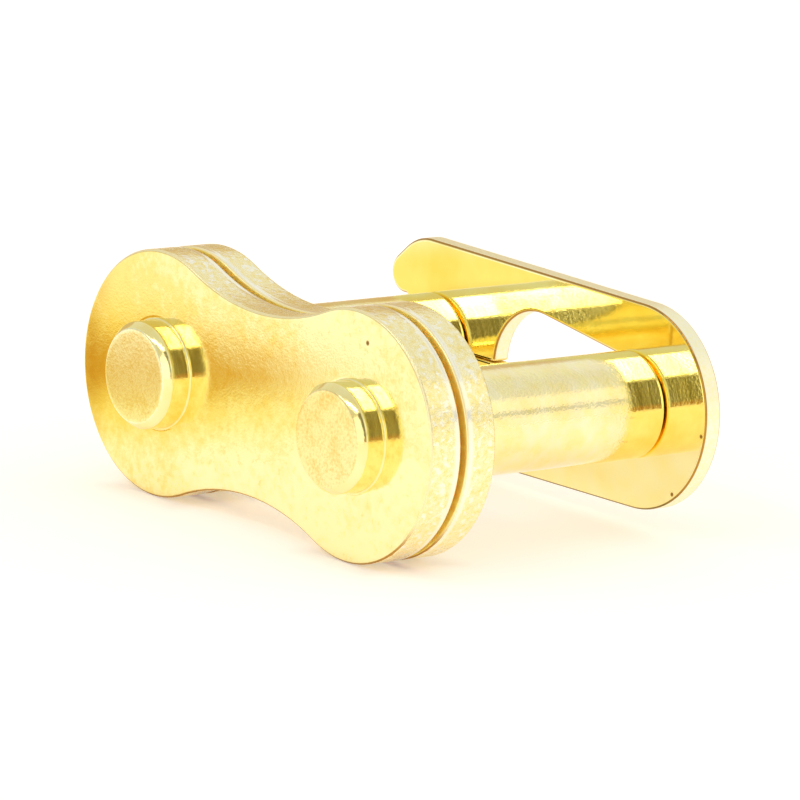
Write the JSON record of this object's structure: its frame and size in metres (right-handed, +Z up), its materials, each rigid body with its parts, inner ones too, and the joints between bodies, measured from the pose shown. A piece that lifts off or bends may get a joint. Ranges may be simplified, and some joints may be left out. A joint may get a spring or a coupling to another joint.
{
  "type": "chain connecting link",
  "caption": "Roller chain connecting link: parallel pins in a fixed plate, a sliding cover plate and a forked spring clip.",
  "frame": {"origin": "on the ground under the middle of the link, which stands on the lower edges of its plates", "axes": "+X from the open end of the clip towards its closed end, along the pitch; +Y along the pins, from their heads towards the clip; +Z up, across the plates"},
  "size_m": [0.0228, 0.0178, 0.0102],
  "materials": {
    "plate_steel": "stamped steel, tumbled and plated pale gold, satin",
    "pin_steel": "ground steel, plated pale gold, polished",
    "clip_steel": "spring steel strip, plated pale gold, polished"
  },
  "bodies": {
    "pinned_plate": {"fixed_plate": "plate_steel", "pin_1": "pin_steel", "pin_2": "pin_steel"},
    "cover_plate": {"cover_plate": "plate_steel"},
    "spring_clip": {"spring_clip": "clip_steel"}
  },
  "joints": [
    {"name": "cover_slide", "type": "slide", "parent": "pinned_plate", "child": "cover_plate", "axis": [0, 1, 0], "range_m": [-0.00028, 0.01128]},
    {"name": "clip_slide", "type": "slide", "parent": "pinned_plate", "child": "spring_clip", "axis": [1, 0, 0], "range_m": [0, 0.00615], "deforming": ["spring_clip"]}
  ]
}
